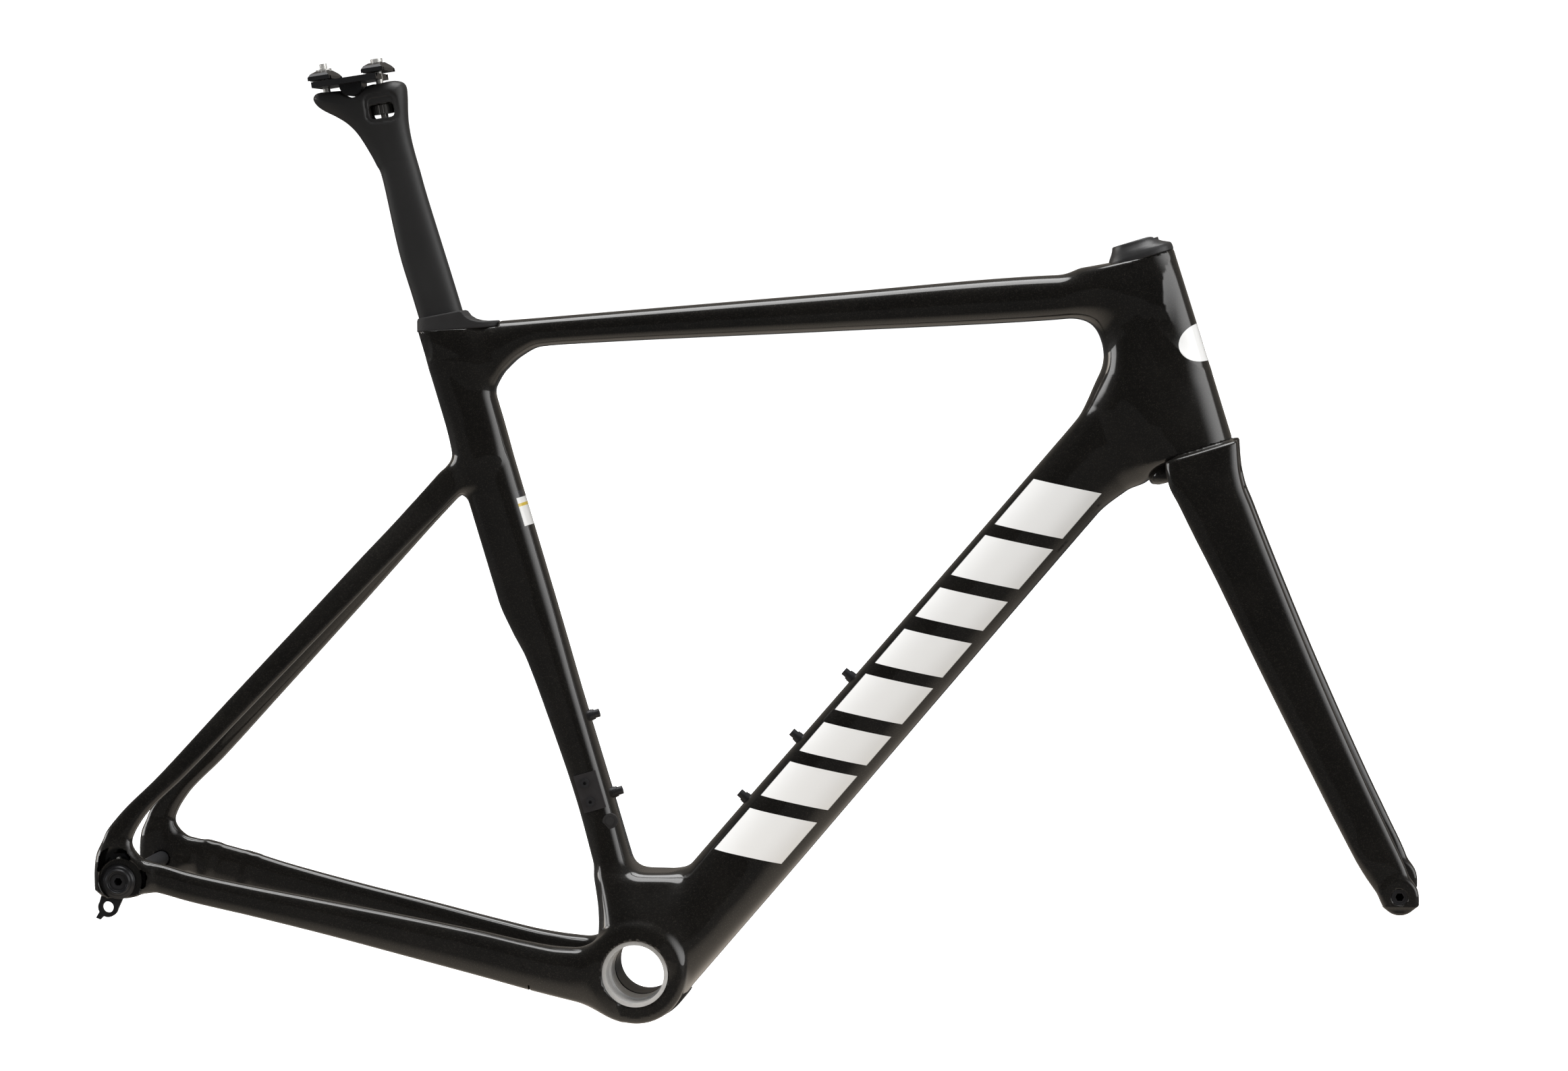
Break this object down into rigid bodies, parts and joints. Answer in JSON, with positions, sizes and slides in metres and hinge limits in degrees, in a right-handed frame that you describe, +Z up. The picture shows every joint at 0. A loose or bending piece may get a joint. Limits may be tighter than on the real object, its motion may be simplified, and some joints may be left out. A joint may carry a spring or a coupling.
{
  "type": "road bicycle frameset",
  "caption": "Carbon disc road bicycle frameset: aero frame with turning fork, sliding aero seatpost with tilting rail clamp, headset, bottom bracket shell and draw-out thru axles.",
  "frame": {"origin": "centre of the bottom bracket shell", "axes": "+X forward, +Y to the rider's left, +Z up; both axles 72.5 mm above the origin"},
  "size_m": [1.0371, 0.163, 0.7612],
  "materials": {
    "gloss_carbon": "black lacquer with fine metal flake under clear coat over carbon fibre",
    "satin_carbon": "satin black carbon fibre",
    "satin_plastic": "satin moulded nylon",
    "black_rubber": "soft matt rubber",
    "satin_black_alloy": "black anodised, satin",
    "black_alloy": "black anodised",
    "silver_alloy": "turned and clear anodised",
    "bright_steel": "polished steel",
    "dark_steel": "black oxide steel"
  },
  "bodies": {
    "frame": {"head_tube": "gloss_carbon", "top_tube": "gloss_carbon", "down_tube": "gloss_carbon", "seat_tube": "gloss_carbon", "bb_shell": "gloss_carbon", "chain_stay_right": "gloss_carbon", "chain_stay_left": "gloss_carbon", "seat_stay_right": "gloss_carbon", "seat_stay_left": "gloss_carbon", "dropout_right": "gloss_carbon", "dropout_left": "gloss_carbon", "derailleur_hanger": "satin_black_alloy", "hanger_screws": "bright_steel", "bb_sleeve_right": "silver_alloy", "bb_sleeve_left": "black_alloy", "bb_cable_cover": "gloss_carbon", "bb_cover_screw": "bright_steel", "seat_collar_boot": "black_rubber", "post_wedge": "silver_alloy", "post_wedge_bolt": "black_alloy", "bottle_bosses": "black_alloy", "bottle_bolts": "black_alloy", "front_derailleur_plate": "satin_black_alloy", "front_derailleur_screws": "black_alloy", "port_plug": "black_rubber", "rear_brake_inserts": "black_alloy", "headset_cover": "satin_plastic", "upper_bearing_outer": "bright_steel", "upper_bearing_balls": "bright_steel", "lower_bearing_outer": "bright_steel", "lower_bearing_balls": "bright_steel"},
    "post": {"seatpost": "satin_carbon", "seatpost_barrel_nut": "silver_alloy", "clamp_stud_rear": "bright_steel"},
    "saddle_cradle": {"rail_cradle": "satin_black_alloy", "rail_clamp_rear": "satin_black_alloy", "rail_clamp_front": "satin_black_alloy", "clamp_nut_rear": "bright_steel", "clamp_bolt_front": "bright_steel"},
    "adjuster": {"tilt_adjuster_wheel": "dark_steel"},
    "fork": {"fork_steerer": "satin_carbon", "fork_crown": "gloss_carbon", "fork_blade_right": "gloss_carbon", "fork_blade_left": "gloss_carbon", "crown_race": "bright_steel", "lower_bearing_inner": "bright_steel", "upper_bearing_inner": "bright_steel", "compression_ring": "black_alloy", "steerer_expander": "silver_alloy", "expander_bolt": "black_alloy", "front_axle_insert": "silver_alloy", "front_brake_inserts": "black_alloy"},
    "front_axle": {"front_thru_axle": "black_alloy"},
    "rear_axle": {"rear_thru_axle": "black_alloy"}
  },
  "joints": [
    {"name": "steering", "type": "hinge", "parent": "frame", "child": "fork", "pos_m": [0.42132, 0, 0.48435], "axis": [-0.2924, 0, 0.9563], "range_deg": [-60, 60]},
    {"name": "seatpost_height", "type": "slide", "parent": "frame", "child": "post", "axis": [-0.289, 0, 0.9573], "range_m": [-0.06, 0.03]},
    {"name": "saddle_tilt", "type": "hinge", "parent": "post", "child": "saddle_cradle", "pos_m": [-0.23, 0, 0.7], "axis": [0, 1, 0], "range_deg": [-5, 5]},
    {"name": "tilt_adjuster", "type": "hinge", "parent": "saddle_cradle", "child": "adjuster", "pos_m": [-0.20557, 0, 0.68201], "axis": [-0.1478, 0, 0.989], "range_deg": [-675, 675]},
    {"name": "front_axle_draw", "type": "slide", "parent": "fork", "child": "front_axle", "axis": [0, -1, 0], "range_m": [0, 0.13]},
    {"name": "rear_axle_draw", "type": "slide", "parent": "frame", "child": "rear_axle", "axis": [0, 1, 0], "range_m": [0, 0.17]}
  ],
  "couplings": [
    {"joint": "tilt_adjuster", "follows": "saddle_tilt", "ratio": 135}
  ]
}
